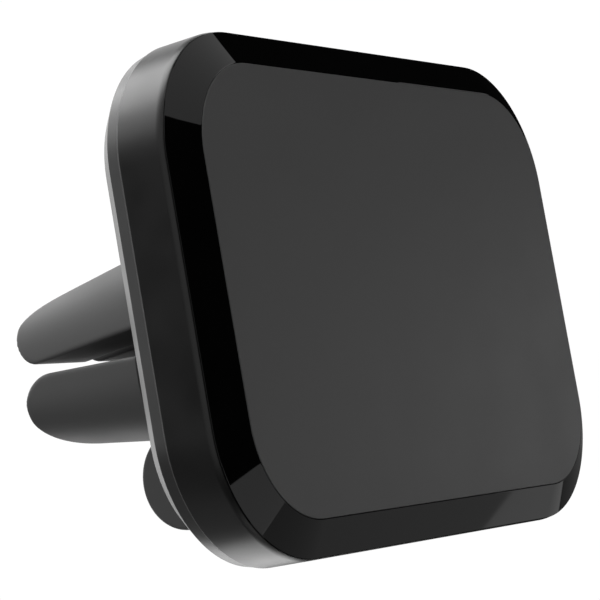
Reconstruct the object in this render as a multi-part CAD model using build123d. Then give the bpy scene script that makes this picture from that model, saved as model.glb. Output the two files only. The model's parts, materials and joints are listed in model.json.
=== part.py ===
"""Magnetic car phone mount that clips into an air vent.

Frame: the origin is the centre of the phone face, +X is to the right seen from the front,
+Y points back through the head into the vent, and +Z is up. Millimetres.

The head holds the magnets and turns on a ball joint. The ball stands on the hub of the vent
clip, which has four sleeved prongs that close on a vent blade, and a short swinging foot.
"""

import os
from math import cos, radians, sin

from build123d import *

# ---- Driving dimensions ----------------------------------------------------------------------
# Head outline and its stations, measured back from the phone face.
HEAD_WIDTH = 60.0
HEAD_HEIGHT = 42.8
HEAD_CORNER = 10.9
PAD_INSET = 3.05            # from the side wall to the edge of the pad
BEZEL_EDGE_INSET = 0.12     # where the bezel's slope ends, over the front edge of the shell
BEZEL_EDGE_Y = 1.47
SHELL_FRONT_Y = 1.52
SHELL_LIP_INSET = 0.11      # narrow slope round the front of the side wall
SHELL_LIP_Y = 2.11
LEDGE_INSET = 0.55          # edge of the seat for the bezel's plate, inside the shell
SHELL_BACK_Y = 5.98
COVER_FRONT_Y = 6.08
COVER_BAND_Y = 7.23         # end of the cover's nearly straight band
COVER_BAND_INSET = 0.29
COVER_BACK_Y = 8.86
COVER_BACK_INSET = 1.87

# Pad, adhesive and bezel plate.
PAD_THICKNESS = 1.0
PAD_EDGE_ROUND = 0.12
ADHESIVE_THICKNESS = 0.2
BEZEL_BACK_Y = 2.2
PAD_GAP = 0.06

# Shell, screws and the parts between shell and cover.
SHELL_WALL = 1.7
POST_OFFSET = 5.4           # from a corner's centre to the screw, along X and along Z
POST_RADIUS = 2.3
SCREW_RADIUS = 0.9
SCREW_HEAD_RADIUS = 1.8
SCREW_HEAD_HEIGHT = 1.1
COVER_POCKET_INSET = 3.2
COVER_FLOOR_Y = 7.4
TRAY_BACK_Y = 4.7
YOKE_THICKNESS = 0.8
MAGNET_RADIUS = 7.0
MAGNET_THICKNESS = 2.0
MAGNET_X = 15.5
MAGNET_Z = 8.2

# Ball joint.
BALL_Y = 12.6
BALL_RADIUS = 5.0
LINER_THICKNESS = 0.84
JOINT_CLEARANCE = 0.08
SOCKET_RADIUS = BALL_RADIUS + LINER_THICKNESS + 2 * JOINT_CLEARANCE
BARREL_RADIUS = 8.0
BARREL_BACK_Y = 14.0
FLANGE_RADIUS = 11.0
FLANGE_FRONT_Y = 5.9
FLANGE_SCREW_RADIUS = 9.6
FLANGE_SCREWS = 3
RING_RADIUS = 9.4
RING_FRONT_Y = 9.6
RING_SHOULDER_Y = 14.2
RING_BACK_Y = 16.4
RING_MOUTH_RADIUS = 6.4
RING_GRIPS = 24
NECK_RADIUS = 2.2

# Hub of the clip.
CLIP_Z = -0.4               # the clip's axis sits just under the head's centre
HUB_FRONT_Y = 19.3
HUB_SPLIT_Y = 20.9
HUB_BACK_Y = 23.8
HUB_WIDTH = 17.0
HUB_TOP_Z = 8.2
HUB_BOTTOM_Z = -7.6
HUB_CORNER = 4.5
STUD_COLLAR_RADIUS = 3.2
SHANK_RADIUS = 1.5
NUT_FLATS = 5.5
NUT_THICKNESS = 1.9
HUB_SCREW_OFFSET = 6.7

# Prongs.
PRONG_ROOT_Y = 24.3
PRONG_TIP_Y = 37.8
PRONG_TOP_ROOT = 8.35
PRONG_TOP_TIP = 5.65
PRONG_BOTTOM_ROOT = -9.1
PRONG_BOTTOM_TIP = -6.9
PRONG_WIDTH_ROOT = 16.8
PRONG_WIDTH_TIP = 16.2
PRONG_CORNER_ROOT = 4.6
PRONG_CORNER_TIP = 3.8
SLOT_TOP_ROOT = 1.25        # faces of the level slot, measured at the root and at the tip
SLOT_TOP_TIP = 0.1
SLOT_BOTTOM_ROOT = -1.2
SLOT_BOTTOM_TIP = -0.7
UPRIGHT_SLOT = 2.0
UPPER_TIP_RADII = (2.5, 2.95)  # of a tip seen from the side: at the slot and at the outer face
LOWER_TIP_RADII = (2.9, 3.25)
SIDE_TIP_RADIUS = 1.0
FOOT_GAP = 0.35             # between the foot and the scoop in the lower sleeves
PIVOT_Y = 22.35
PIVOT_OFFSET = 3.75         # of each prong's knuckle from the clip's axis, along X and along Z
KNUCKLE_RADIUS = 1.25
KNUCKLE_LENGTH = 4.4
CORE_THICKNESS = 1.5
CORE_WIDTH = 3.6
CORE_BACK_Y = 35.0

# Swinging foot under the hub.
FOOT_Y = 22.2
FOOT_Z = -12.4
FOOT_RADIUS = 4.5
FOOT_WIDTH = 14.0
FOOT_EDGE = 0.5
FOOT_CORE_RADIUS = 3.3
FOOT_CORE_WIDTH = 11.6
FOOT_PIVOT_Y = 20.9
FOOT_PIVOT_Z = -9.35
FOOT_PIN_RADIUS = 0.8
EAR_RADIUS = 1.7
EAR_INNER = 2.6             # half the width between the hub's two ears
EAR_OUTER = 4.2
FOOT_NOTCH = 4.6            # half the width of the foot's notch, which the ears swing in

FIT_GAP = 0.05              # between parts that are assembled and don't move on each other
REACH = 60.0                # longer than any part, for cutting tools

# ---- Derived places --------------------------------------------------------------------------
POST_X = HEAD_WIDTH / 2 - HEAD_CORNER + POST_OFFSET
POST_Z = HEAD_HEIGHT / 2 - HEAD_CORNER + POST_OFFSET
POSTS = [(side * POST_X, level * POST_Z) for side in (-1, 1) for level in (-1, 1)]
MAGNETS = [(side * MAGNET_X, level * MAGNET_Z) for side in (-1, 1) for level in (-1, 1)]
HUB_SCREWS = [(-HUB_SCREW_OFFSET, CLIP_Z), (HUB_SCREW_OFFSET, CLIP_Z), (0, CLIP_Z + HUB_SCREW_OFFSET)]
FLANGE_SCREW_PLACES = [
    (FLANGE_SCREW_RADIUS * sin(radians(360 / FLANGE_SCREWS * step)),
     FLANGE_SCREW_RADIUS * cos(radians(360 / FLANGE_SCREWS * step)))
    for step in range(FLANGE_SCREWS)
]
PRONGS = {
    "upper_left": (-1, 1),
    "upper_right": (1, 1),
    "lower_left": (-1, -1),
    "lower_right": (1, -1),
}


# ---- Helpers ---------------------------------------------------------------------------------
def facing_back(y):
    """Sketch plane at y whose normal is +Y, with local y along +Z."""
    return Plane(origin=(0, y, 0), x_dir=(-1, 0, 0), z_dir=(0, 1, 0))


def rod(radius, y0, y1, x=0.0, z=0.0):
    """Cylinder along Y."""
    return extrude(facing_back(y0) * Pos(-x, z) * Circle(radius), y1 - y0)


def cone(radius0, y0, radius1, y1):
    """Cone frustum along Y."""
    return loft([facing_back(y0) * Circle(radius0), facing_back(y1) * Circle(radius1)])


def outline(inset, y):
    """The head's rounded outline, drawn in by inset, at station y."""
    shape = RectangleRounded(HEAD_WIDTH - 2 * inset, HEAD_HEIGHT - 2 * inset, HEAD_CORNER - inset)
    return facing_back(y) * shape


def slab(inset, y0, y1):
    """Straight slice of the head's outline."""
    return extrude(outline(inset, y0), y1 - y0)


def taper(inset0, y0, inset1, y1):
    """Slice of the head's outline whose wall slopes."""
    return loft([outline(inset0, y0), outline(inset1, y1)], ruled=True)


def cross_bar(radius, half_width, y, z):
    """Cylinder along X, centred on X = 0."""
    side = Plane(origin=(-half_width, y, z), x_dir=(0, 1, 0), z_dir=(1, 0, 0))
    return extrude(side * Circle(radius), 2 * half_width)


def block(x0, x1, y0, y1, z0, z1):
    """Box between two corners."""
    middle = Pos((x0 + x1) / 2, (y0 + y1) / 2, (z0 + z1) / 2)
    return middle * Box(abs(x1 - x0), abs(y1 - y0), abs(z1 - z0))


def ball(radius):
    """Sphere at the centre of the ball joint."""
    return Pos(0, BALL_Y, 0) * Sphere(radius)


def ball_zone(inner, outer, front_angle, back_angle):
    """Spherical shell about the ball between two angles, measured from its front pole."""
    front = BALL_Y - outer * cos(radians(front_angle))
    back = BALL_Y - outer * cos(radians(back_angle))
    return (ball(outer) - ball(inner)) & rod(2 * outer, front, back)


def screw(x, z, head_y, tip_y):
    """Pan-head screw along Y with its head at head_y and a cross recess in the head."""
    towards_tip = 1 if tip_y > head_y else -1
    neck_y = head_y + towards_tip * SCREW_HEAD_HEIGHT
    recess_y = head_y + towards_tip * SCREW_HEAD_HEIGHT / 2
    head = rod(SCREW_HEAD_RADIUS, min(head_y, neck_y), max(head_y, neck_y), x, z)
    shank = rod(SCREW_RADIUS, min(neck_y, tip_y), max(neck_y, tip_y), x, z)
    long, thin = SCREW_HEAD_RADIUS * 0.6, SCREW_HEAD_RADIUS * 0.14
    recess = block(x - long, x + long, head_y, recess_y, z - thin, z + thin)
    recess += block(x - thin, x + thin, head_y, recess_y, z - long, z + long)
    return head + shank - recess


# ---- Head ------------------------------------------------------------------------------------
def front_pad():
    pad = slab(PAD_INSET, 0, PAD_THICKNESS)
    return fillet(pad.faces().sort_by(Axis.Y)[0].edges(), PAD_EDGE_ROUND)


def pad_adhesive():
    return slab(PAD_INSET + PAD_GAP, PAD_THICKNESS, PAD_THICKNESS + ADHESIVE_THICKNESS)


def bezel():
    """Glossy frame: it slopes from the pad out over the shell's edge, on a plate behind the pad."""
    slope = taper(PAD_INSET - PAD_GAP, PAD_GAP, BEZEL_EDGE_INSET, BEZEL_EDGE_Y)
    plate = slab(LEDGE_INSET + FIT_GAP, BEZEL_EDGE_Y, BEZEL_BACK_Y)
    recess = slab(PAD_INSET - PAD_GAP / 2, -1, PAD_THICKNESS + ADHESIVE_THICKNESS)
    return slope + plate - recess


def head_shell():
    """Side wall with a narrow slope in front, a ledge for the bezel and four screw posts."""
    wall = taper(SHELL_LIP_INSET, SHELL_FRONT_Y, 0, SHELL_LIP_Y)
    wall += slab(0, SHELL_LIP_Y, SHELL_BACK_Y)
    ledge_y = BEZEL_BACK_Y + FIT_GAP
    wall -= slab(LEDGE_INSET, 0, ledge_y)
    wall -= slab(SHELL_WALL, 0, REACH)
    for x, z in POSTS:
        wall += rod(POST_RADIUS, ledge_y, SHELL_BACK_Y, x, z) & slab(LEDGE_INSET, 0, REACH)
    for x, z in POSTS:
        wall -= rod(SCREW_RADIUS, ledge_y + 0.6, REACH, x, z)
    return wall


def rear_cover():
    """Back of the head: a nearly straight band, then a chamfer, with a hole for the socket."""
    cover = taper(0.04, COVER_FRONT_Y, COVER_BAND_INSET, COVER_BAND_Y)
    cover += taper(COVER_BAND_INSET, COVER_BAND_Y, COVER_BACK_INSET, COVER_BACK_Y)
    cover -= slab(COVER_POCKET_INSET, 0, COVER_FLOOR_Y)
    for x, z in POSTS:
        cover += rod(POST_RADIUS, SHELL_BACK_Y, COVER_FLOOR_Y, x, z)
    for x, z in POSTS:
        cover -= rod(SCREW_RADIUS + FIT_GAP, 0, REACH, x, z)
        cover -= rod(SCREW_HEAD_RADIUS + 2 * FIT_GAP, COVER_FLOOR_Y, REACH, x, z)
    cover -= rod(BARREL_RADIUS + FIT_GAP, 0, REACH)
    for x, z in FLANGE_SCREW_PLACES:
        cover -= rod(SCREW_RADIUS, COVER_FLOOR_Y - 1, COVER_BACK_Y - 0.3, x, z)
    return cover


def magnet_tray():
    """Plastic tray that holds the magnets and clears the screw posts."""
    tray = slab(SHELL_WALL + 2 * FIT_GAP, BEZEL_BACK_Y + FIT_GAP, TRAY_BACK_Y)
    for x, z in POSTS:
        tray -= rod(POST_RADIUS + 2 * FIT_GAP, 0, REACH, x, z)
    for x, z in MAGNETS:
        tray -= rod(MAGNET_RADIUS + FIT_GAP, TRAY_BACK_Y - MAGNET_THICKNESS - FIT_GAP, REACH, x, z)
    return tray


def magnets():
    return [
        fillet(rod(MAGNET_RADIUS, TRAY_BACK_Y - MAGNET_THICKNESS, TRAY_BACK_Y, x, z).edges(), 0.2)
        for x, z in MAGNETS
    ]


def yoke_plate():
    """Steel plate that closes the magnets' field behind them."""
    plate = slab(SHELL_WALL + 4 * FIT_GAP, TRAY_BACK_Y + FIT_GAP, TRAY_BACK_Y + YOKE_THICKNESS)
    for x, z in POSTS:
        plate -= rod(POST_RADIUS + 2 * FIT_GAP, 0, REACH, x, z)
    return plate


def cover_screws():
    head_y = COVER_FLOOR_Y + SCREW_HEAD_HEIGHT
    return [screw(x, z, head_y, BEZEL_BACK_Y + 1.4) for x, z in POSTS]


def ball_socket():
    """Flanged barrel with the front half of the ball's seat."""
    socket = rod(FLANGE_RADIUS, FLANGE_FRONT_Y, COVER_FLOOR_Y)
    socket += rod(BARREL_RADIUS, COVER_FLOOR_Y, BARREL_BACK_Y)
    socket -= ball(SOCKET_RADIUS)
    socket -= rod(SOCKET_RADIUS, BALL_Y, REACH)
    for x, z in FLANGE_SCREW_PLACES:
        socket -= rod(SCREW_RADIUS + FIT_GAP, 0, REACH, x, z)
    return socket


def flange_screws():
    """Short flat screws that hold the socket's flange to the cover from inside."""
    tip_y = COVER_BACK_Y - 0.35
    head_front = FLANGE_FRONT_Y - 0.35
    screws = []
    for x, z in FLANGE_SCREW_PLACES:
        head = rod(1.3, head_front, FLANGE_FRONT_Y, x, z)
        screws.append(head + rod(SCREW_RADIUS, FLANGE_FRONT_Y, tip_y, x, z))
    return screws


def retaining_ring():
    """Gripped ring on the barrel whose rounded mouth keeps the ball in."""
    ring = rod(RING_RADIUS, RING_FRONT_Y, RING_SHOULDER_Y)
    ring += cone(RING_RADIUS, RING_SHOULDER_Y, RING_MOUTH_RADIUS, RING_BACK_Y)
    ring -= rod(BARREL_RADIUS + FIT_GAP, 0, BARREL_BACK_Y + FIT_GAP)
    ring -= ball(SOCKET_RADIUS)
    for step in range(RING_GRIPS):
        angle = radians(360 / RING_GRIPS * step)
        x, z = (RING_RADIUS + 0.35) * sin(angle), (RING_RADIUS + 0.35) * cos(angle)
        ring -= rod(0.6, RING_FRONT_Y - 1, RING_SHOULDER_Y - 0.5, x, z)
    return ring


# ---- Pieces that float in the ball joint -----------------------------------------------------
def ball_seat():
    """Cup that presses on the front of the ball."""
    inner = BALL_RADIUS + JOINT_CLEARANCE
    return ball_zone(inner, inner + LINER_THICKNESS, 14, 50)


def friction_ring():
    """Belt around the ball's widest part."""
    inner = BALL_RADIUS + JOINT_CLEARANCE
    return ball_zone(inner, inner + LINER_THICKNESS, 68, 116)


# ---- Clip ------------------------------------------------------------------------------------
def hub_outline():
    middle = (HUB_TOP_Z + HUB_BOTTOM_Z) / 2
    return Pos(0, middle) * RectangleRounded(HUB_WIDTH, HUB_TOP_Z - HUB_BOTTOM_Z, HUB_CORNER)


def ball_stud():
    """Ball, neck, collar and threaded shank, in one piece of steel."""
    stud = ball(BALL_RADIUS)
    stud += rod(NECK_RADIUS, BALL_Y, HUB_FRONT_Y, 0, 0)
    stud += rod(STUD_COLLAR_RADIUS, HUB_FRONT_Y - 0.7, HUB_FRONT_Y)
    stud += rod(SHANK_RADIUS, HUB_FRONT_Y, HUB_SPLIT_Y + NUT_THICKNESS)
    return stud


def stud_nut():
    hexagon = RegularPolygon(NUT_FLATS / 2, 6, major_radius=False)
    nut = extrude(facing_back(HUB_SPLIT_Y) * hexagon, NUT_THICKNESS)
    return nut - rod(SHANK_RADIUS, 0, REACH)


def hub_cap():
    """Front plate of the hub, which the ball's collar bears on."""
    cap = extrude(facing_back(HUB_FRONT_Y) * hub_outline(), HUB_SPLIT_Y - HUB_FRONT_Y)
    cap = fillet(cap.faces().sort_by(Axis.Y)[0].edges(), 0.8)
    cap -= rod(SHANK_RADIUS + FIT_GAP, 0, REACH)
    for x, z in HUB_SCREWS:
        cap -= rod(SCREW_RADIUS + FIT_GAP, 0, REACH, x, z)
        cap -= rod(SCREW_HEAD_RADIUS + FIT_GAP, 0, HUB_FRONT_Y + SCREW_HEAD_HEIGHT, x, z)
    return cap - foot_clearance()


def foot_clearance():
    """Room in the hub for the foot's knuckle."""
    top = FOOT_PIVOT_Z + EAR_RADIUS + 0.75
    return block(-EAR_INNER, EAR_INNER, 0, REACH, top, -REACH)


def prong_frame(sides):
    """Pivot of one prong: +X points outward on the diagonal, +Z along the vent, +Y along the pin."""
    side, level = sides
    origin = (side * PIVOT_OFFSET, PIVOT_Y, CLIP_Z + level * PIVOT_OFFSET)
    return Plane(origin=origin, x_dir=(side, 0, level), z_dir=(0, 1, 0))


def hub_body():
    """Rear half of the hub: nut pocket, four knuckle grooves and the two ears of the foot."""
    hub = extrude(facing_back(HUB_SPLIT_Y) * hub_outline(), HUB_BACK_Y - HUB_SPLIT_Y)
    for inner, outer in ((-EAR_OUTER, -EAR_INNER), (EAR_INNER, EAR_OUTER)):
        ear = block(inner, outer, FOOT_PIVOT_Y, FOOT_PIVOT_Y + EAR_RADIUS, FOOT_PIVOT_Z, HUB_BOTTOM_Z + 1)
        middle = (inner + outer) / 2
        ear += Pos(middle, 0, 0) * cross_bar(EAR_RADIUS, (outer - inner) / 2, FOOT_PIVOT_Y, FOOT_PIVOT_Z)
        hub += ear
    hub -= foot_clearance()
    hub -= cross_bar(FOOT_PIN_RADIUS, REACH, FOOT_PIVOT_Y, FOOT_PIVOT_Z)
    pocket = RegularPolygon(NUT_FLATS / 2 + FIT_GAP, 6, major_radius=False)
    hub -= extrude(facing_back(HUB_SPLIT_Y) * pocket, NUT_THICKNESS + FIT_GAP)
    for sides in PRONGS.values():
        frame = prong_frame(sides)
        groove = Rot(90, 0, 0) * Cylinder(KNUCKLE_RADIUS + JOINT_CLEARANCE, KNUCKLE_LENGTH + 0.4)
        mouth = Pos(0, 0, 2) * Box(CORE_THICKNESS + 0.5, KNUCKLE_LENGTH + 0.4, 4)
        hub -= frame.location * (groove + mouth)
    for x, z in HUB_SCREWS:
        hub -= rod(SCREW_RADIUS, 0, HUB_BACK_Y - 0.5, x, z)
    return hub


def hub_screws():
    return [screw(x, z, HUB_FRONT_Y, HUB_BACK_Y - 0.6) for x, z in HUB_SCREWS]


def prong_core(sides):
    """Stiff nylon finger with a round knuckle that rocks in the hub."""
    length = CORE_BACK_Y - PIVOT_Y
    knuckle = Rot(90, 0, 0) * Cylinder(KNUCKLE_RADIUS, KNUCKLE_LENGTH)
    finger = Pos(0, 0, length / 2) * Box(CORE_THICKNESS, CORE_WIDTH, length)
    return prong_frame(sides).location * (knuckle + finger)


def clip_envelope():
    """Tapered, round-cornered bar that the four prongs are cut from."""
    def section(y, width, top, bottom, corner):
        return facing_back(y) * Pos(0, (top + bottom) / 2) * RectangleRounded(width, top - bottom, corner)

    root = section(PRONG_ROOT_Y, PRONG_WIDTH_ROOT, PRONG_TOP_ROOT, PRONG_BOTTOM_ROOT, PRONG_CORNER_ROOT)
    tip = section(PRONG_TIP_Y, PRONG_WIDTH_TIP, PRONG_TOP_TIP, PRONG_BOTTOM_TIP, PRONG_CORNER_TIP)
    return loft([root, tip], ruled=True)


def prong_sleeve(sides):
    """Soft sleeve over one finger: flat on its two slot faces, rounded outside and at the tip."""
    side, level = sides
    if level > 0:
        slot_root, slot_tip, tip_radii = SLOT_TOP_ROOT, SLOT_TOP_TIP, UPPER_TIP_RADII
        face_root, face_tip = PRONG_TOP_ROOT, PRONG_TOP_TIP
    else:
        slot_root, slot_tip, tip_radii = SLOT_BOTTOM_ROOT, SLOT_BOTTOM_TIP, LOWER_TIP_RADII
        face_root, face_tip = PRONG_BOTTOM_ROOT, PRONG_BOTTOM_TIP
    inner_x = side * UPRIGHT_SLOT / 2
    seen_from_side = Polygon(
        (PRONG_ROOT_Y, slot_root), (PRONG_TIP_Y, slot_tip), (PRONG_TIP_Y, face_tip), (PRONG_ROOT_Y, face_root),
        align=None,
    )
    for tip_z, radius in zip((slot_tip, face_tip), tip_radii):
        corner = seen_from_side.vertices().sort_by_distance((PRONG_TIP_Y, tip_z, 0))[0]
        seen_from_side = fillet(corner, radius)
    side_plane = Plane(origin=(inner_x, 0, 0), x_dir=(0, 1, 0), z_dir=(1, 0, 0))
    sleeve = extrude(side_plane * seen_from_side, PRONG_WIDTH_ROOT, dir=(side, 0, 0))
    seen_from_top = Polygon(
        (inner_x, PRONG_ROOT_Y),
        (inner_x, PRONG_TIP_Y),
        (side * PRONG_WIDTH_TIP / 2, PRONG_TIP_Y),
        (side * PRONG_WIDTH_ROOT / 2, PRONG_ROOT_Y),
        align=None,
    )
    seen_from_top = fillet(seen_from_top.vertices().sort_by(Axis.Y)[-2:], SIDE_TIP_RADIUS)
    sleeve &= extrude(Plane.XY * seen_from_top, REACH, both=True)
    sleeve &= clip_envelope()
    sleeve -= cross_bar(FOOT_RADIUS + FOOT_GAP, REACH, FOOT_Y, FOOT_Z)
    cavity_reach = 2 * (CORE_BACK_Y + FIT_GAP - PIVOT_Y)
    cavity = Box(CORE_THICKNESS + 2 * FIT_GAP, CORE_WIDTH + 2 * FIT_GAP, cavity_reach)
    return sleeve - prong_frame(sides).location * cavity


# ---- Foot ------------------------------------------------------------------------------------
def foot_notch(extra=0.0):
    """Room around the hub's ears, round about the pivot so that the foot can swing."""
    room = cross_bar(EAR_RADIUS + 0.3 + extra, FOOT_NOTCH, FOOT_PIVOT_Y, FOOT_PIVOT_Z)
    reach = EAR_RADIUS + 0.3 + extra
    return room + block(
        -FOOT_NOTCH, FOOT_NOTCH, FOOT_PIVOT_Y - reach, FOOT_Y + FOOT_RADIUS, FOOT_PIVOT_Z, HUB_BOTTOM_Z + 2
    )


def foot_lever():
    """Nylon lever: a knuckle between the ears and a round core inside the rubber foot."""
    lever = cross_bar(FOOT_CORE_RADIUS, FOOT_CORE_WIDTH / 2, FOOT_Y, FOOT_Z) - foot_notch(0.3)
    half = EAR_INNER - 2 * FIT_GAP
    lever += cross_bar(EAR_RADIUS, half, FOOT_PIVOT_Y, FOOT_PIVOT_Z)
    lever += block(-half, half, FOOT_PIVOT_Y - 1.5, FOOT_PIVOT_Y + 1.6, FOOT_Z, FOOT_PIVOT_Z)
    return lever - cross_bar(FOOT_PIN_RADIUS + FIT_GAP, REACH, FOOT_PIVOT_Y, FOOT_PIVOT_Z)


def foot_pin():
    return cross_bar(FOOT_PIN_RADIUS, EAR_OUTER, FOOT_PIVOT_Y, FOOT_PIVOT_Z)


def foot_boot():
    """Rubber foot with a rounded rim, moulded over the lever's round end."""
    boot = cross_bar(FOOT_RADIUS, FOOT_WIDTH / 2, FOOT_Y, FOOT_Z)
    boot = fillet(boot.edges().filter_by(GeomType.CIRCLE), FOOT_EDGE)
    boot -= cross_bar(FOOT_CORE_RADIUS, FOOT_CORE_WIDTH / 2, FOOT_Y, FOOT_Z)
    half = EAR_INNER
    boot -= block(-half, half, FOOT_PIVOT_Y - 1.6, FOOT_PIVOT_Y + 1.7, FOOT_Z, 0)
    return boot - foot_notch()


# ---- Parts list ------------------------------------------------------------------------------
def build_parts():
    """Every node's shape by its name. A list is a group of identical separate solids."""
    parts = {
        "front_pad": front_pad(),
        "pad_adhesive": pad_adhesive(),
        "bezel": bezel(),
        "head_shell": head_shell(),
        "rear_cover": rear_cover(),
        "magnet_tray": magnet_tray(),
        "magnets": magnets(),
        "yoke_plate": yoke_plate(),
        "cover_screws": cover_screws(),
        "ball_socket": ball_socket(),
        "flange_screws": flange_screws(),
        "retaining_ring": retaining_ring(),
        "ball_seat": ball_seat(),
        "friction_ring": friction_ring(),
        "ball_stud": ball_stud(),
        "stud_nut": stud_nut(),
        "hub_cap": hub_cap(),
        "hub_body": hub_body(),
        "hub_screws": hub_screws(),
        "foot_lever": foot_lever(),
        "foot_pin": foot_pin(),
        "foot_boot": foot_boot(),
    }
    for name, sides in PRONGS.items():
        parts[f"prong_core_{name}"] = prong_core(sides)
        parts[f"prong_sleeve_{name}"] = prong_sleeve(sides)
    return parts


os.makedirs("parts", exist_ok=True)
for node, shape in build_parts().items():
    export_step(Compound(children=shape) if isinstance(shape, list) else shape, f"parts/{node}.step")
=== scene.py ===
"""Looks of the magnetic car phone mount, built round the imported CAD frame.

Blender works in metres. The measures below are in millimetres, in the row frame: the origin is the
centre of the phone face, +X is to the right seen from the front, +Y goes back into the vent and +Z
is up. Compass angles of lights and camera are in degrees, and a bearing is measured from the -Y
direction, in front of the phone face, towards +X.
"""

import json
from math import atan2, cos, exp, pi, radians, sin, sqrt, tan

import bmesh
import bpy
from mathutils import Matrix, Vector


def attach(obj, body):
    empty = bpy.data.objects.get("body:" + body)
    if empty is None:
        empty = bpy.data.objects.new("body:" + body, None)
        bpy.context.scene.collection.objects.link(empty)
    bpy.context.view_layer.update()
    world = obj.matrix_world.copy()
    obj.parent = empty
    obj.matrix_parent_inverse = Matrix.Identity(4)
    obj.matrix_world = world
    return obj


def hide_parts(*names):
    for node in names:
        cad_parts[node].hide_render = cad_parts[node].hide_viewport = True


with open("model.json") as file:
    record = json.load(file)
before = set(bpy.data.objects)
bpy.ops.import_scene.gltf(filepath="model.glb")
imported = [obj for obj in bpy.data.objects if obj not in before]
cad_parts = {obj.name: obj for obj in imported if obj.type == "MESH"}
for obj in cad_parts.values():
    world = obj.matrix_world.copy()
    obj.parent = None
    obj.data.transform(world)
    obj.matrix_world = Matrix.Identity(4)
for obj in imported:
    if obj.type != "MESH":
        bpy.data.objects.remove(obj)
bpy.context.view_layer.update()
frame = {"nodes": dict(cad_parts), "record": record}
nodes = frame["nodes"]

MM = 0.001

# ---- Measures of the head ----------------------------------------------------------------------
# An inset is measured inwards from the head's outline, and a Y back from the phone face.
HEAD_WIDTH, HEAD_HEIGHT, HEAD_CORNER = 60.0, 42.8, 10.9
CORNER_STEPS = 32
CREASE_ANGLE = 12.0                 # on pieces with crisp bands, edges above this stay sharp

PAD_INSET, PAD_BACK_Y, PAD_ROUND = 3.05, 1.0, 0.07

BEZEL_FOOT_INSET, BEZEL_FOOT_Y = 3.01, 0.05
BEZEL_EDGE_INSET, BEZEL_EDGE_Y = 0.12, 1.47
BEZEL_ROUND, BEZEL_CRISP = 0.03, 0.05
BEZEL_FLOOR_Y, BEZEL_BACK_Y = 1.2, 2.2

SHELL_FRONT_Y, SHELL_BACK_Y, SHELL_WALL = 1.56, 6.04, 1.7
SHELL_LIP_INSET, SHELL_LIP_Y, SHELL_LIP_ROUND, SHELL_BACK_ROUND = 0.11, 2.25, 0.06, 0.12
LEDGE_INSET, LEDGE_Y = 0.55, 2.25
PLATE_GAP = 0.05                    # between the shell's ledge and the plate of the bezel

COVER_FRONT_INSET, COVER_FRONT_Y = 0.06, 6.05
COVER_BAND_INSET, COVER_BAND_Y, COVER_BAND_ROUND = 0.29, 7.23, 0.02
COVER_BACK_INSET, COVER_BACK_Y, COVER_BACK_ROUND = 1.87, 8.86, 0.06
COVER_POCKET_INSET, COVER_FLOOR_Y = 3.2, 7.4
BOSS_LAP = 0.2                      # how far the cover's bosses run into its floor

BARREL_HOLE, SCREW_HOLE, SCREW_HEAD_HOLE = 8.05, 0.95, 1.9      # radii
RIM_CHAMFER = 0.07                  # round the holes that show
POST_OFFSET = 5.4                   # from the centre of a corner's arc to its post, each way
POST_RADIUS, POST_BORE, POST_SOLID_DEPTH, POST_EDGE = 2.3, 0.9, 0.6, 0.1

# ---- Measures of the clip ----------------------------------------------------------------------
CLIP_Z = -0.4                       # height of the hub's centre
PIVOT_OFFSET = 3.75                 # from the hub's centre to a prong's pivot, each way
PRONG_ROOT_Y = 24.3
PRONG_INNER_X = 1.0                 # half of the upright slot
PRONG_EDGE_SOFTNESS, PRONG_ROOT_ROUND = 0.17, 0.12
PRONG_TIP_SIDE_ROUND = 0.25
# A sleeve reaches this much past its root towards the hub, leaning with the hub's face, and the
# reach fades out over the blend.
ROOT_REACH, ROOT_TILT, ROOT_BLEND = 0.33, 0.055, 3.0
# Each pair of heights and of half widths is at the root and at the tip. A tip's round is its rise
# and its length. The power is that of the barrel curve, from 2, an ellipse, towards a box.
PRONG_SHAPES = {
    "upper": {
        "level": 1, "tip": 37.8, "half_width": (8.24, 8.36),
        "slot": (1.30, 0.01), "widest": (-2.26, -0.95), "crest": (8.82, 6.15),
        "power": 3.52, "lean": 0.088,
        "tip_slot_round": (3.74, 2.6), "tip_crest_round": (2.43, 5.42),
    },
    "lower": {
        "level": -1, "tip": 37.66, "half_width": (8.4, 8.15),
        "slot": (-1.11, -0.64), "widest": (-2.0, -2.0), "crest": (-9.02, -7.3),
        "power": 2.7, "lean": 0.0,
        "tip_slot_round": (3.34, 3.34), "tip_crest_round": (3.07, 3.07),
    },
}
LENGTH_STEPS, TIP_STEPS, FLAT_STEPS, BARREL_STEPS = 16, 16, 12, 40
RING_POINTS, RING_OVERSAMPLE = 120, 3
THINNEST = 0.05                     # least height of a section at the very tip
CREST_BLEND, FOOT_ROOM_BLEND = 0.5, 0.3

FOOT_Y, FOOT_Z, FOOT_RADIUS, FOOT_HALF_WIDTH, FOOT_EDGE = 22.2, -12.5, 4.52, 7.0, 0.3
FOOT_GAP = 0.35                     # kept free between the foot and the lower prongs
# Room inside the foot for its lever, and above it for the lever's pivot and the hub's ears.
FOOT_CORE_RADIUS, FOOT_CORE_HALF = 3.3, 5.8
FOOT_PIVOT_Y, FOOT_PIVOT_Z, EAR_ROOM, FOOT_NOTCH = 20.9, -9.35, 2.0, 4.6

# ---- Measures of the carried-over CAD nodes -----------------------------------------------------
CAD_WELD, CAD_FLAT_ANGLE = 0.0005, 0.5
EDGE_ROUND = 0.05
SPECIAL_EDGE_ROUND = {"magnets": 0.0, "ball_stud": 0.03}    # more would leave faces with no area

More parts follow.
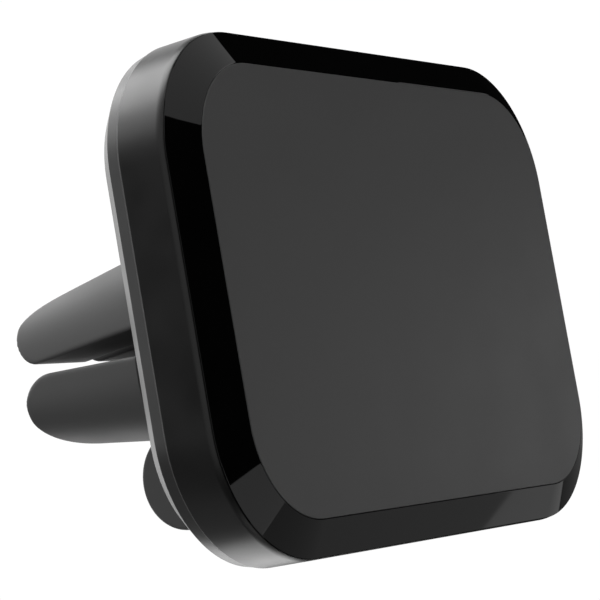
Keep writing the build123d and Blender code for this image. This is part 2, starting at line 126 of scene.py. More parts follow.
# ---- Measures of the studio --------------------------------------------------------------------
AIM = (-5.40, 7.87, 0.57)
VIEW_DISTANCE = 204.0
VIEW_AZIMUTH, VIEW_ELEVATION, VIEW_ROLL = -56.655, -6.031, 9.865
LENS, SENSOR, CLIP_START = 143.13, 36.0, 10.0
FLOOR_Z, FLOOR_RADIUS, FLOOR_THICKNESS, FLOOR_STEPS = -400.0, 1800.0, 4.0, 128
FLOOR_TINTS, FLOOR_GLOW, FLOOR_ROUGHNESS, FLOOR_NOISE_SCALE = (0.84, 0.88), 0.62, 0.9, 4.0
# What the world shows to the camera, to mirroring surfaces and to the diffuse bounce of light.
BACKDROP_WHITE, STUDIO_DARK, STUDIO_FILL = 1.02, 0.004, 0.10
# Each card: its bearings, its elevations, its distance in metres and its radiance.
LIGHT_CARDS = {
    "key_front_right": ((0.9, 66.5), (18, 62), 1.0, 0.53),
    "low_front": ((3.4, 24.2), (-38, -8), 0.55, 0.55),
    "low_right": ((27.0, 83.5), (-42, -8), 0.5, 0.22),
    "low_side": ((71.5, 83.5), (-30, -8), 0.5, 0.24),
    "side_dim": ((84, 106), (-24, -2), 0.6, 0.08),
    "side_mid": ((106, 117.5), (-14, 10.4), 0.8, 0.10),
    "gap_light": ((118.5, 130), (-14, 10), 0.8, 0.7),
    "overhead_back": ((154, 220), (42, 78), 0.9, 5.2),
    "high_back": ((140, 206), (20, 42), 1.0, 2.5),
    "high_right_back": ((116, 140), (18, 42), 1.0, 1.1),
    "left_back": ((214, 236), (28, 58), 0.9, 2.2),
    "low_back": ((178, 226), (-56, -8), 0.4, 0.3),
    "rear_low": ((128, 176), (-24, -4), 1.0, 0.9),
    "under_back": ((126, 164), (-60, -24), 0.3, 2.6),
    "backdrop": ((130, 216), (-4, 20), 1.2, 1.3),
    "left_side": ((-112, -75), (-26, 44), 0.8, 0.5),
    "left_top": ((-150, -65), (58, 84), 0.9, 0.8),
    "under_left": ((-150, -75), (-88, -62), 0.3, 0.6),
    "front_left": ((-55, -10), (25, 65), 1.0, 1.5),
    "front_soft": ((60, 80), (-11, 7), 0.17, 1.15),
}


# ---- Mesh helpers ------------------------------------------------------------------------------
CUT_PAST = 1.0                      # how far a cutter runs past the surface it cuts
CUT_WELD = 0.01                     # slivers of a cut narrower than this close up


def lerp(a, b, t):
    return a + (b - a) * t


def add_mesh(name, points_mm, faces, sharp_angle=40.0):
    """New object from points in millimetres, with its normals made to face outwards."""
    mesh = bpy.data.meshes.new(name)
    mesh.from_pydata([Vector(p) * MM for p in points_mm], [], faces)
    bm = bmesh.new()
    bm.from_mesh(mesh)
    bmesh.ops.recalc_face_normals(bm, faces=bm.faces)
    bm.to_mesh(mesh)
    bm.free()
    mesh.shade_smooth()
    mesh.set_sharp_from_angle(angle=radians(sharp_angle))
    piece = bpy.data.objects.new(name, mesh)
    bpy.context.scene.collection.objects.link(piece)
    return piece


def weighted_normals(piece):
    """Keeps flat faces looking flat beside small rounds."""
    modifier = piece.modifiers.new("flat_faces_stay_flat", "WEIGHTED_NORMAL")
    modifier.keep_sharp = True
    modifier.weight = 80


def outline_ring(inset, y):
    """Points round the head's outline, drawn in by inset, at depth y. Every ring has as many."""
    radius = HEAD_CORNER - inset
    points = []
    for quarter in range(4):
        side = 1 if quarter in (0, 3) else -1
        level = 1 if quarter < 2 else -1
        centre_x = side * (HEAD_WIDTH / 2 - HEAD_CORNER)
        centre_z = level * (HEAD_HEIGHT / 2 - HEAD_CORNER)
        for k in range(CORNER_STEPS + 1):
            angle = pi / 2 * (quarter + k / CORNER_STEPS)
            points.append((centre_x + radius * cos(angle), y, centre_z + radius * sin(angle)))
    return points


def sweep(name, profile, capped=False, sharp_angle=40.0):
    """Carries a profile of (inset, depth) points round the head's outline.
    Without caps the profile is closed, and the piece is a ring."""
    rings = [outline_ring(inset, y) for inset, y in profile]
    size = len(rings[0])
    points = [p for ring in rings for p in ring]
    faces = []
    last = len(rings) - 1 if capped else len(rings)
    for i in range(last):
        start, following = i * size, (i + 1) % len(rings) * size
        for j in range(size):
            k = (j + 1) % size
            faces.append((start + j, start + k, following + k, following + j))
    if capped:
        faces.append(tuple(range(size)))
        faces.append(tuple(range((len(rings) - 1) * size, len(rings) * size)))
    piece = add_mesh(name, points, faces, sharp_angle)
    weighted_normals(piece)
    return piece


def loft(name, rings, sharp_angle=60.0):
    """Closed piece through rings of equal size, capped at both ends."""
    size = len(rings[0])
    points = [p for ring in rings for p in ring]
    faces = [tuple(range(size)), tuple(range((len(rings) - 1) * size, len(rings) * size))]
    for i in range(len(rings) - 1):
        for j in range(size):
            k = (j + 1) % size
            faces.append((i * size + j, i * size + k, (i + 1) * size + k, (i + 1) * size + j))
    return add_mesh(name, points, faces, sharp_angle)


def lathe_x(name, profile, centre_y, centre_z, steps=96):
    """Turns a profile of (x, radius) points about a line along X. Its ends are capped."""
    turns = [2 * pi * k / steps for k in range(steps)]
    rings = [[(x, centre_y + r * cos(a), centre_z + r * sin(a)) for a in turns] for x, r in profile]
    return loft(name, rings)


def box_mesh(name, low, high):
    """Plain box between two corners, for cutting."""
    xs, ys, zs = zip(low, high)
    corners = [(x, y, z) for x in xs for y in ys for z in zs]
    faces = [(0, 1, 3, 2), (4, 6, 7, 5), (0, 4, 5, 1), (2, 3, 7, 6), (0, 2, 6, 4), (1, 5, 7, 3)]
    return add_mesh(name, corners, faces)


def rod_y(name, radius, from_y, to_y, x=0.0, z=0.0, steps=64, flare=0.0):
    """Round rod along Y, for cutting and joining. One that ends past the surface it cuts can open
    by 45 degrees before it gets there, and its flare is the chamfer that this gives the rim."""
    profile = [(from_y, radius), (to_y, radius)]
    if flare > 0:
        opening = CUT_PAST + flare
        profile = [(from_y, radius), (to_y - opening, radius), (to_y, radius + opening)]
    turns = [2 * pi * k / steps for k in range(steps)]
    rings = [[(x + r * cos(a), y, z + r * sin(a)) for a in turns] for y, r in profile]
    return loft(name, rings)


def combine(piece, cutters, operation="DIFFERENCE"):
    """Cuts the other meshes out of the piece, or joins them to it, for good, and removes them."""
    for cutter in cutters:
        modifier = piece.modifiers.new("cut", "BOOLEAN")
        modifier.operation = operation
        modifier.solver = "EXACT"
        modifier.object = cutter
    piece.modifiers.new("close_slivers", "WELD").merge_threshold = CUT_WELD * MM
    bpy.context.view_layer.update()
    shape = piece.evaluated_get(bpy.context.evaluated_depsgraph_get())
    mesh = bpy.data.meshes.new_from_object(shape)
    piece.modifiers.clear()
    piece.data = mesh
    mesh.name = piece.name
    for cutter in cutters:
        bpy.data.objects.remove(cutter)


def round_edges(piece, width_mm, angle=35.0):
    """Gives every edge sharper than the angle a small round."""
    modifier = piece.modifiers.new("softened_edges", "BEVEL")
    modifier.limit_method = "ANGLE"
    modifier.angle_limit = radians(angle)
    modifier.width = width_mm * MM
    modifier.segments = 2
    piece.data.shade_smooth()
    weighted_normals(piece)


def refine_cad(node, width_mm):
    """Closes the seams of a CAD node's mesh, and gives its edges the small round of a moulding."""
    weld = node.modifiers.new("close_seams", "WELD")
    weld.merge_threshold = CAD_WELD * MM
    flat = node.modifiers.new("merge_flats", "DECIMATE")
    flat.decimate_type = "DISSOLVE"
    flat.angle_limit = radians(CAD_FLAT_ANGLE)
    if width_mm > 0:
        round_edges(node, width_mm, angle=22.0)


# ---- Head --------------------------------------------------------------------------------------
def make_pad():
    """Flat soft pad with a small round along its front edge."""
    arc = [pi / 2 * k / 5 for k in range(6)]
    profile = [(PAD_INSET + PAD_ROUND * (1 - sin(a)), PAD_ROUND * (1 - cos(a))) for a in arc]
    profile.append((PAD_INSET, PAD_BACK_Y))
    return sweep("pad", profile, capped=True)


def make_bezel():
    """Tray of gloss plastic: the recess floor, the slope with crisp edges, and the plate behind."""
    steepness = BEZEL_EDGE_Y / (BEZEL_FOOT_INSET - BEZEL_EDGE_INSET)
    turn, crisp = BEZEL_ROUND, BEZEL_CRISP
    profile = [
        (BEZEL_FOOT_INSET + turn / 3, BEZEL_FLOOR_Y),
        (BEZEL_FOOT_INSET + turn / 3, BEZEL_FOOT_Y + turn),
        (BEZEL_FOOT_INSET, BEZEL_FOOT_Y + turn / 3),
        (BEZEL_FOOT_INSET - turn, BEZEL_FOOT_Y),
        (BEZEL_FOOT_INSET - turn - crisp, BEZEL_FOOT_Y + crisp * steepness),
        (BEZEL_EDGE_INSET + crisp, BEZEL_EDGE_Y - crisp * steepness),
        (BEZEL_EDGE_INSET + turn / 3, BEZEL_EDGE_Y - 0.4 * turn),
        (BEZEL_EDGE_INSET, BEZEL_EDGE_Y + turn / 3),
        (BEZEL_EDGE_INSET + turn, BEZEL_EDGE_Y + turn),
        (LEDGE_INSET + PLATE_GAP, BEZEL_EDGE_Y + turn),
        (LEDGE_INSET + PLATE_GAP, BEZEL_BACK_Y),
    ]
    return sweep("bezel_frame", profile, capped=True, sharp_angle=CREASE_ANGLE)


def make_shell():
    """Side wall whose front lip turns in along a curve, with a small round at each end."""
    turn = SHELL_LIP_ROUND
    lip = [
        (SHELL_LIP_INSET * t * t, lerp(SHELL_LIP_Y, SHELL_FRONT_Y + turn, t))
        for t in (k / 8 for k in range(9))
    ]
    lip += [
        (SHELL_LIP_INSET + turn / 3, SHELL_FRONT_Y + turn / 3),
        (SHELL_LIP_INSET + turn, SHELL_FRONT_Y),
    ]
    back = [
        (SHELL_BACK_ROUND * (1 - cos(a)), SHELL_BACK_Y - SHELL_BACK_ROUND * (1 - sin(a)))
        for a in (pi / 2 * (1 - k / 4) for k in range(5))
    ]
    inside = [
        (LEDGE_INSET, SHELL_FRONT_Y),
        (LEDGE_INSET, LEDGE_Y),
        (SHELL_WALL, LEDGE_Y),
        (SHELL_WALL, SHELL_BACK_Y),
    ]
    return sweep("shell_wall", back + lip + inside, sharp_angle=50.0)


def post_places():
    """The four places of the screw posts, as (x, z)."""
    x = HEAD_WIDTH / 2 - HEAD_CORNER + POST_OFFSET
    z = HEAD_HEIGHT / 2 - HEAD_CORNER + POST_OFFSET
    return [(side * x, level * z) for side in (-1, 1) for level in (-1, 1)]


def make_cover():
    """Rear cover: nearly straight band, bright chamfer and flat back, with its screw holes."""
    fold, turn = COVER_BAND_ROUND, COVER_BACK_ROUND
    profile = [
        (COVER_POCKET_INSET, COVER_FLOOR_Y),
        (COVER_POCKET_INSET, COVER_FRONT_Y),
        (COVER_FRONT_INSET, COVER_FRONT_Y),
        (COVER_BAND_INSET - fold / 4, COVER_BAND_Y - 1.25 * fold),
        (COVER_BAND_INSET + fold, COVER_BAND_Y + fold),
        (COVER_BACK_INSET - turn, COVER_BACK_Y - turn),
        (COVER_BACK_INSET - turn / 6, COVER_BACK_Y - turn / 3),
        (COVER_BACK_INSET + turn, COVER_BACK_Y),
    ]
    cover = sweep("cover_back", profile, capped=True, sharp_angle=CREASE_ANGLE)
    boss_end = COVER_FLOOR_Y + BOSS_LAP
    bosses = [rod_y("boss", POST_RADIUS, COVER_FRONT_Y, boss_end, x, z) for x, z in post_places()]
    combine(cover, bosses, "UNION")

    past = COVER_BACK_Y + CUT_PAST
    holes = [rod_y("bore", BARREL_HOLE, 0, past, steps=128, flare=RIM_CHAMFER)]
    for x, z in post_places():
        holes.append(rod_y("through", SCREW_HOLE, 0, past, x, z, steps=40))
        head_room = rod_y(
            "head_room", SCREW_HEAD_HOLE, COVER_FLOOR_Y, past, x, z, flare=RIM_CHAMFER,
        )
        holes.append(head_room)
    combine(cover, holes)
    cover.data.shade_smooth()
    cover.data.set_sharp_from_angle(angle=radians(CREASE_ANGLE))
    weighted_normals(cover)
    return cover


def make_posts():
    """The four screw posts inside the shell."""
    posts = []
    for number, (x, z) in enumerate(post_places(), 1):
        post = rod_y(f"shell_post_{number}", POST_RADIUS, LEDGE_Y, SHELL_BACK_Y, x, z)
        bore_start = LEDGE_Y + POST_SOLID_DEPTH
        combine(post, [rod_y("bore", POST_BORE, bore_start, COVER_FRONT_Y + CUT_PAST, x, z)])
        round_edges(post, POST_EDGE)
        posts.append(post)
    return posts


# ---- Prongs ------------------------------------------------------------------------------------
def soft_minimum(a, b, width):
    """The smaller of two numbers, with a smooth change where they are within width."""
    h = max(0.0, min(1.0, 0.5 + 0.5 * (b - a) / width))
    return lerp(b, a, h) - width * h * (1 - h)


def spread_evenly(points, count):
    """The same closed outline with count points at equal steps, and its length."""
    lengths = [0.0]
    for i, p in enumerate(points):
        q = points[(i + 1) % len(points)]
        lengths.append(lengths[-1] + sqrt((p[0] - q[0]) ** 2 + (p[1] - q[1]) ** 2))
    result = []
    i = 0
    for k in range(count):
        target = lengths[-1] * k / count
        while lengths[i + 1] < target:
            i += 1
        step = lengths[i + 1] - lengths[i]
        t = (target - lengths[i]) / step if step > 1e-9 else 0.0
        p, q = points[i], points[(i + 1) % len(points)]
        result.append((lerp(p[0], q[0], t), lerp(p[1], q[1], t)))
    return result, lengths[-1]


def melt_corners(points, length, softness):
    """Rounds an evenly spaced outline's corners by a weighted mean over their neighbours."""
    count = len(points)
    step = length / count
    reach = int(3 * softness / step) + 1
    weights = [exp(-0.5 * (k * step / softness) ** 2) for k in range(-reach, reach + 1)]
    total = sum(weights)
    return [
        tuple(
            sum(w * points[(i + k - reach) % count][axis] for k, w in enumerate(weights)) / total
            for axis in (0, 1)
        )
        for i in range(count)
    ]


def prong_section(shape, side, y):
    """One cross-section of a sleeve: flat to the two slots, and a soft barrel curve outside.
    Heights here count from the widest place, towards the crest."""
    t = (y - PRONG_ROOT_Y) / (shape["tip"] - PRONG_ROOT_Y)
    level, power = shape["level"], shape["power"]
    half_width = lerp(*shape["half_width"], t)
    slot, crest, widest = (lerp(*shape[key], t) for key in ("slot", "crest", "widest"))
    height = (crest - widest) * level
    to_tip = shape["tip"] - y

    def tip_drop(rise, reach):
        past = max(0.0, 1 - to_tip / reach)
        return rise * (1 - sqrt(max(0.0, 1 - past * past)))

    low_flat = (slot - widest) * level
    low = low_flat + tip_drop(*shape["tip_slot_round"])
    high = height - tip_drop(*shape["tip_crest_round"])
    if level < 0:
        past_foot = y - FOOT_Y
        room = sqrt(max(0.0, (FOOT_RADIUS + FOOT_GAP) ** 2 - past_foot * past_foot))
        if room > 0:
            high = soft_minimum(high, widest - (FOOT_Z + room), FOOT_ROOM_BLEND)
    if high < low + THINNEST:
        middle = (low + high) / 2
        low, high = middle - THINNEST / 2, middle + THINNEST / 2
    drawn_in = tip_drop(PRONG_TIP_SIDE_ROUND, PRONG_TIP_SIDE_ROUND)

    # The flat along the level slot, from the inside out, then the barrel curve up to the crest,
    # then the flat along the upright slot, back down.
    share = min(1.0, abs(low) / height) ** power
    start = atan2(sqrt(share) * (1 if low >= 0 else -1), sqrt(max(0.0, 1 - share)))
    edge_x = half_width * (1 - share) ** (1 / power) - drawn_in
    points = [(lerp(PRONG_INNER_X, edge_x, k / FLAT_STEPS), low) for k in range(FLAT_STEPS)]
    for k in range(BARREL_STEPS + 1):
        angle = lerp(start, pi / 2, k / BARREL_STEPS)
        h = height * abs(sin(angle)) ** (2 / power) * (1 if angle >= 0 else -1)
        x = half_width * abs(cos(angle)) ** (2 / power) - drawn_in - shape["lean"] * (h - low_flat)
        if x < PRONG_INNER_X:
            break
        capped = soft_minimum(h, high, CREST_BLEND) if high - low > CREST_BLEND else min(h, high)
        points.append((x, capped))
    top = points[-1][1]
    points += [(PRONG_INNER_X, lerp(top, low, k / FLAT_STEPS)) for k in range(FLAT_STEPS)]

    fine, length = spread_evenly(points, RING_OVERSAMPLE * RING_POINTS)
    rounded = melt_corners(fine, length, PRONG_EDGE_SOFTNESS)[::RING_OVERSAMPLE]
    return [(side * x, y, widest + level * h) for x, h in rounded]


def make_sleeve(name, shape, side):
    """Soft sleeve of one prong, lofted through sections that crowd together towards the tip. The
    bevel rounds only the edge of its root, so that nothing folds over at the thin tip."""
    tip = shape["tip"]
    reach = max(shape["tip_slot_round"][1], shape["tip_crest_round"][1])
    stations = [lerp(PRONG_ROOT_Y, tip - reach, k / LENGTH_STEPS) for k in range(LENGTH_STEPS + 1)]
    stations += [tip - reach + reach * sin(pi / 2 * k / TIP_STEPS) for k in range(1, TIP_STEPS + 1)]
    rings = []
    for y in stations:
        share = max(0.0, 1 - (y - PRONG_ROOT_Y) / ROOT_BLEND)
        ring = []
        for x, depth, z in prong_section(shape, side, y):
            outward = (abs(x) + shape["level"] * (z - CLIP_Z) - 2 * PIVOT_OFFSET) / sqrt(2)
            ring.append((x, depth - share * (ROOT_REACH - ROOT_TILT * outward), z))
        rings.append(ring)
    sleeve = loft(name, rings, sharp_angle=70.0)
    root = sleeve.vertex_groups.new(name="root")
    root.add(range(RING_POINTS), 1.0, "REPLACE")
    soften = sleeve.modifiers.new("root_edge", "BEVEL")
    soften.limit_method = "VGROUP"
    soften.vertex_group = root.name
    soften.width = PRONG_ROOT_ROUND * MM
    soften.segments = 3
    return sleeve


# ---- Foot --------------------------------------------------------------------------------------
def make_foot_boot():
    """Rubber roller with rounded rims, notched for the hub's ears and hollow round the lever."""
    right = [
        (FOOT_HALF_WIDTH - FOOT_EDGE * (1 - sin(a)), FOOT_RADIUS - FOOT_EDGE * (1 - cos(a)))
        for a in (pi / 2 * k / 6 for k in range(7))
    ]
    left = [(-x, r) for x, r in reversed(right)]
    boot = lathe_x("foot_roller", left + right, FOOT_Y, FOOT_Z)

    def bar(name, half_width, radius, y, z):
        return lathe_x(name, [(-half_width, radius), (half_width, radius)], y, z)

    notch = box_mesh(
        "notch",
        (-FOOT_NOTCH, FOOT_PIVOT_Y - EAR_ROOM, FOOT_PIVOT_Z),
        (FOOT_NOTCH, FOOT_Y + FOOT_RADIUS + CUT_PAST, FOOT_Z + FOOT_RADIUS + CUT_PAST),
    )
    combine(boot, [
        bar("core_room", FOOT_CORE_HALF, FOOT_CORE_RADIUS, FOOT_Y, FOOT_Z),
        bar("ear_room", FOOT_NOTCH, EAR_ROOM, FOOT_PIVOT_Y, FOOT_PIVOT_Z),
        notch,
    ])
    boot.data.shade_smooth()
    boot.data.set_sharp_from_angle(angle=radians(35))
    weighted_normals(boot)
    return boot


# ---- Materials ---------------------------------------------------------------------------------
IOR = 1.5
PATCH_SIZE, PATCH_RANGE = 6.0, (0.3, 0.7)      # broad noise, and the part of its range in use
WEAR_RANGE, WEAR_LEAST = (0.35, 0.65), 0.4     # the same for wear, and its least share
EDGE_FOUND = (0.995, 0.86)          # cosine of the bend, from where an edge starts to its middle
EDGE_GAIN, EDGE_LIFT = 1.5, 0.004   # a worn edge's colour is the plain one times and plus these
EDGE_POLISH = 0.25                  # share of its roughness that it loses
HIGHLIGHT_LINE_REACH, HIGHLIGHT_LINE_GREY = (0.04, 0.09), 0.09     # painted highlight, a lighter line along the shell's join with the cover: up to where it is full, where it ends, and its grey


def grey(value, warm=0.0):
    return (value * (1 + warm), value, value * (1 - warm))


def procedural(
    slot, colour, roughness, metallic=0.0, grain=0.1, grain_depth=0.002, stretch=(1, 1, 1),
    mottle=0.08, uneven=0.04, wear=0.5, edge=0.12, highlight_line_y=None,
):
    """Moulded or machined surface: fine grain in the bump, a soft unevenness of colour and
    roughness, and edges that are a little polished and lighter. A given depth gets a thin painted
    highlight, a lighter line standing in for light on the edge of a join. Sizes are in millimetres."""
    material = bpy.data.materials.new(slot)
    material.use_nodes = True
    tree = material.node_tree
    shader = tree.nodes["Principled BSDF"]
    shader.inputs["Metallic"].default_value = metallic
    shader.inputs["IOR"].default_value = IOR

    def add(kind, **settings):
        node = tree.nodes.new(kind)
        for key, value in settings.items():
            setattr(node, key, value)
        return node

    def link(out, into):
        tree.links.new(out, into)

    place = add("ShaderNodeTexCoord")
    mapping = add("ShaderNodeMapping")
    mapping.inputs["Scale"].default_value = stretch
    link(place.outputs["Object"], mapping.inputs["Vector"])

    def noise(size_mm, detail):
        node = add("ShaderNodeTexNoise")
        node.inputs["Scale"].default_value = 1 / (size_mm * MM)
        node.inputs["Detail"].default_value = detail
        link(mapping.outputs["Vector"], node.inputs["Vector"])
        return node.outputs["Fac"]

    def ranged(value, from_range, to_range):
        node = add("ShaderNodeMapRange")
        keys = ("From Min", "From Max", "To Min", "To Max")
        for key, number in zip(keys, (*from_range, *to_range)):
            node.inputs[key].default_value = number
        link(value, node.inputs["Value"])
        return node.outputs["Result"]

    def calculate(operation, *values, **settings):
        node = add("ShaderNodeMath", operation=operation, **settings)
        for socket, value in zip(node.inputs, values):
            if isinstance(value, float):
                socket.default_value = value
            else:
                link(value, socket)
        return node.outputs["Value"]

    def mixed(factor, below, above):
        """Colour from below to above. Below is a colour or a socket, and above a colour."""
        node = add("ShaderNodeMix", data_type="RGBA")
        link(factor, node.inputs["Factor"])
        if isinstance(below, tuple):
            node.inputs["A"].default_value = (*below, 1)
        else:
            link(below, node.inputs["A"])
        node.inputs["B"].default_value = (*above, 1)
        return node.outputs["Result"]

    patches = noise(PATCH_SIZE, detail=3.0)

    bevel = add("ShaderNodeBevel", samples=4)
    bevel.inputs["Radius"].default_value = edge * MM
    geometry = add("ShaderNodeNewGeometry")
    align = add("ShaderNodeVectorMath", operation="DOT_PRODUCT")
    link(bevel.outputs["Normal"], align.inputs[0])
    link(geometry.outputs["Normal"], align.inputs[1])
    edges = ranged(align.outputs["Value"], EDGE_FOUND, (0.0, 1.0))
    rubbed = calculate(
        "MULTIPLY", edges, ranged(patches, WEAR_RANGE, (WEAR_LEAST * wear, wear)),
    )

    darker, lighter = (tuple(c * share for c in colour) for share in (1 - mottle, 1 + mottle))
    tint = mixed(ranged(patches, PATCH_RANGE, (0.0, 1.0)), darker, lighter)
    finished = mixed(rubbed, tint, [min(1.0, c * EDGE_GAIN + EDGE_LIFT) for c in colour])
    # Painted highlight: at the given depth a thin lighter line of colour runs round the piece,
    # standing in for the light that the edge of the join catches.
    if highlight_line_y is not None:
        depth = add("ShaderNodeSeparateXYZ")
        link(place.outputs["Object"], depth.inputs["Vector"])
        away = calculate("ABSOLUTE", calculate("SUBTRACT", depth.outputs["Y"], highlight_line_y * MM))
        line = ranged(away, [reach * MM for reach in HIGHLIGHT_LINE_REACH], (1.0, 0.0))
        finished = mixed(line, finished, grey(HIGHLIGHT_LINE_GREY))
    link(finished, shader.inputs["Base Color"])

    even = ranged(patches, PATCH_RANGE, (roughness - uneven, roughness + uneven))
    polished = calculate("MULTIPLY_ADD", rubbed, -EDGE_POLISH * roughness, even, use_clamp=True)
    link(polished, shader.inputs["Roughness"])

    if grain_depth > 0:
        bump = add("ShaderNodeBump")
        bump.inputs["Strength"].default_value = 1.0
        bump.inputs["Distance"].default_value = grain_depth * MM
        link(noise(grain, detail=2.0), bump.inputs["Height"])
        link(bump.outputs["Normal"], shader.inputs["Normal"])
    return material


# The shell and the cover both get the painted highlight line at the shell's back edge, where they
# meet.
SATIN = dict(roughness=0.34, grain=0.08, grain_depth=0.0008, wear=0.4, highlight_line_y=SHELL_BACK_Y)
RUBBER = dict(grain=0.1, grain_depth=0.0015, mottle=0.03)
MATERIALS = {
    # Front and side of the head
    "pad_silicone": procedural(
        "pad_silicone", grey(0.10), 0.5, grain=0.12, grain_depth=0.0015, mottle=0.03,
    ),
    "adhesive": procedural(
        "adhesive", grey(0.7, 0.03), 0.8, grain=0.2, grain_depth=0.004, wear=0.0,
    ),
    "bezel_gloss": procedural(
        "bezel_gloss", grey(0.0015), 0.025,
        grain_depth=0.0, mottle=0.2, uneven=0.005, wear=0.1, edge=0.05,
    ),
    "shell_satin": procedural("shell_satin", grey(0.013), **SATIN),
    "cover_satin": procedural("cover_satin", grey(0.013), **SATIN),
    # Inside the head
    "tray_plastic": procedural("tray_plastic", grey(0.035), 0.5),
    "magnet_nickel": procedural(
        "magnet_nickel", grey(0.62, 0.03), 0.18, metallic=1.0, grain=0.3, wear=0.2,
    ),
    "yoke_steel": procedural(
        "yoke_steel", grey(0.45), 0.32, metallic=1.0, grain=0.05, stretch=(0.05, 1, 1),
    ),
    "screw_steel": procedural(
        "screw_steel", grey(0.09), 0.35, metallic=1.0, grain=0.05, wear=1.0,
    ),
    # Joint and clip
    "joint_nylon": procedural("joint_nylon", grey(0.022), 0.5, grain=0.09),
    "liner_nylon": procedural("liner_nylon", grey(0.5, 0.04), 0.5, grain_depth=0.001),
    "ball_steel": procedural(
        "ball_steel", grey(0.5), 0.16, metallic=1.0, grain=0.04, grain_depth=0.0003,
    ),
    "hub_plastic": procedural("hub_plastic", grey(0.02), 0.42, grain=0.09, grain_depth=0.0012),
    "prong_rubber": procedural("prong_rubber", grey(0.095), 0.62, **RUBBER),
    "foot_rubber": procedural("foot_rubber", grey(0.075), 0.6, **RUBBER),
}


def set_material(piece, slot):
    """Gives a piece its one material."""
    piece.data.materials.clear()
    piece.data.materials.append(MATERIALS[slot])


def finish_piece(piece, slot, body, *replaced):
    """Gives a new piece its material, body and slot, and hides the CAD nodes that it replaces."""
    set_material(piece, slot)
    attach(piece, body)
    if replaced:
        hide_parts(*replaced)


# ---- Put it together ---------------------------------------------------------------------------
finish_piece(make_pad(), "pad_silicone", "head", "front_pad")
finish_piece(make_bezel(), "bezel_gloss", "head", "bezel")
finish_piece(make_shell(), "shell_satin", "head", "head_shell")
finish_piece(make_cover(), "cover_satin", "head", "rear_cover")
for post in make_posts():
    finish_piece(post, "shell_satin", "head")
for row, shape in PRONG_SHAPES.items():
    for column, side in (("left", -1), ("right", 1)):
        place = f"{row}_{column}"
        sleeve = make_sleeve(f"sleeve_{place}", shape, side)
        finish_piece(sleeve, "prong_rubber", f"prong_{place}", f"prong_sleeve_{place}")
finish_piece(make_foot_boot(), "foot_rubber", "foot", "foot_boot")

replaced_nodes = {"front_pad", "bezel", "head_shell", "rear_cover", "foot_boot"}
replaced_nodes.update(name for name in nodes if name.startswith("prong_sleeve"))
for entry in frame["record"]["subparts"]:
    name = entry["node"]
    if name not in replaced_nodes:
        set_material(nodes[name], entry["material_slot"])
        refine_cad(nodes[name], SPECIAL_EDGE_ROUND.get(name, EDGE_ROUND))


# ---- Studio ------------------------------------------------------------------------------------
def place_object(name, data, position, turn):
    """New light or camera at a position in metres, facing along -Z of its turn."""
    thing = bpy.data.objects.new(name, data)
    bpy.context.scene.collection.objects.link(thing)
    thing.matrix_world = Matrix.Translation(position) @ turn
    return thing


def make_camera():
    """Long lens, seen from the front left and a little below, rolled by the picture's tilt."""
    azimuth, elevation, roll = (radians(a) for a in (VIEW_AZIMUTH, VIEW_ELEVATION, VIEW_ROLL))
    flat = cos(elevation)
    forward = Vector((-sin(azimuth) * flat, cos(azimuth) * flat, -sin(elevation)))
    level_right = forward.cross(Vector((0, 0, 1))).normalized()
    level_up = level_right.cross(forward)
    right = level_right * cos(roll) - level_up * sin(roll)
    up = right.cross(forward)
    data = bpy.data.cameras.new("camera")
    data.lens, data.sensor_width = LENS, SENSOR
    data.clip_start = CLIP_START * MM
    position = Vector(AIM) * MM - forward * VIEW_DISTANCE * MM
    turn = Matrix((right, up, -forward)).transposed().to_4x4()
    bpy.context.scene.camera = place_object("camera", data, position, turn)


def make_card(name, bearings, elevations, distance, radiance):
    """Flat soft light that fills a window of directions as seen from the object's middle."""
    bearing = radians(sum(bearings) / 2)
    elevation = radians(sum(elevations) / 2)
    flat = cos(elevation)
    away = Vector((sin(bearing) * flat, -cos(bearing) * flat, sin(elevation)))
    data = bpy.data.lights.new(name, "AREA")
    data.shape = "RECTANGLE"
    data.size = 2 * distance * tan(radians(bearings[1] - bearings[0]) / 2) * flat
    data.size_y = 2 * distance * tan(radians(elevations[1] - elevations[0]) / 2)
    data.energy = radiance * pi * data.size * data.size_y
    turn = away.to_track_quat("Z", "Y").to_matrix().to_4x4()
    place_object(name, data, away * distance, turn).visible_camera = False


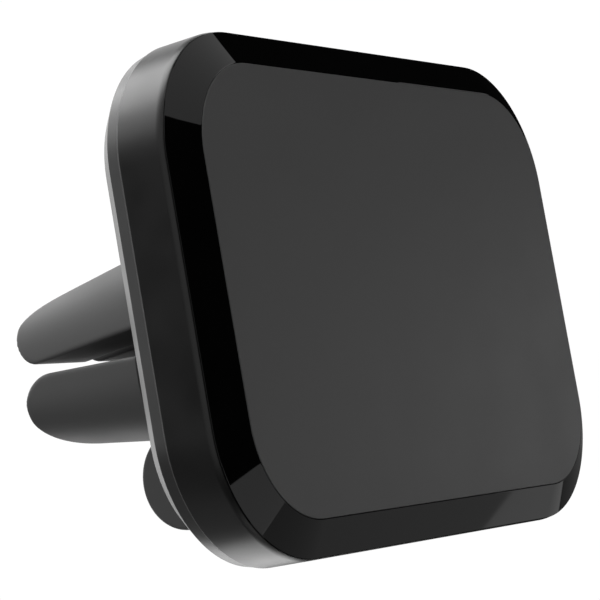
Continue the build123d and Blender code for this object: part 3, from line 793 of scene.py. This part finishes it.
def make_world():
    """Pure white behind the object, a dark studio that surfaces mirror, and a dim even fill."""
    world = bpy.data.worlds.new("studio")
    bpy.context.scene.world = world
    world.use_nodes = True
    tree = world.node_tree
    tree.nodes.clear()
    path = tree.nodes.new("ShaderNodeLightPath")
    output = tree.nodes.new("ShaderNodeOutputWorld")

    def background(strength):
        node = tree.nodes.new("ShaderNodeBackground")
        node.inputs["Color"].default_value = (1, 1, 1, 1)
        node.inputs["Strength"].default_value = strength
        return node.outputs["Background"]

    def choose(ray, otherwise, when):
        mix = tree.nodes.new("ShaderNodeMixShader")
        tree.links.new(path.outputs[ray], mix.inputs["Fac"])
        tree.links.new(otherwise, mix.inputs[1])
        tree.links.new(when, mix.inputs[2])
        return mix.outputs["Shader"]

    unseen = choose("Is Diffuse Ray", background(STUDIO_DARK), background(STUDIO_FILL))
    seen = choose("Is Camera Ray", unseen, background(BACKDROP_WHITE))
    tree.links.new(seen, output.inputs["Surface"])


def make_floor():
    """Plain pale round floor, well below the object, that lights nothing and mirrors nowhere."""
    turns = [2 * pi * k / FLOOR_STEPS for k in range(FLOOR_STEPS)]
    rings = [
        [(FLOOR_RADIUS * cos(a), FLOOR_RADIUS * sin(a), z) for a in turns]
        for z in (FLOOR_Z, FLOOR_Z - FLOOR_THICKNESS)
    ]
    floor = loft("floor", rings)
    material = bpy.data.materials.new("floor_paper")
    material.use_nodes = True
    tree = material.node_tree
    shader = tree.nodes["Principled BSDF"]
    shader.inputs["Roughness"].default_value = FLOOR_ROUGHNESS
    shader.inputs["Emission Strength"].default_value = FLOOR_GLOW
    place = tree.nodes.new("ShaderNodeTexCoord")
    paper = tree.nodes.new("ShaderNodeTexNoise")
    paper.inputs["Scale"].default_value = FLOOR_NOISE_SCALE
    tint = tree.nodes.new("ShaderNodeMix")
    tint.data_type = "RGBA"
    for socket, value in zip(("A", "B"), FLOOR_TINTS):
        tint.inputs[socket].default_value = (*grey(value), 1)
    tree.links.new(place.outputs["Object"], paper.inputs["Vector"])
    tree.links.new(paper.outputs["Fac"], tint.inputs["Factor"])
    for socket in ("Base Color", "Emission Color"):
        tree.links.new(tint.outputs["Result"], shader.inputs[socket])
    floor.data.materials.append(material)
    floor.visible_glossy = False
    floor.visible_diffuse = False


make_camera()
for name, window in LIGHT_CARDS.items():
    make_card(name, *window)
make_world()
make_floor()
bpy.context.scene.view_settings.view_transform = "Standard"
bpy.context.scene.view_settings.look = "None"
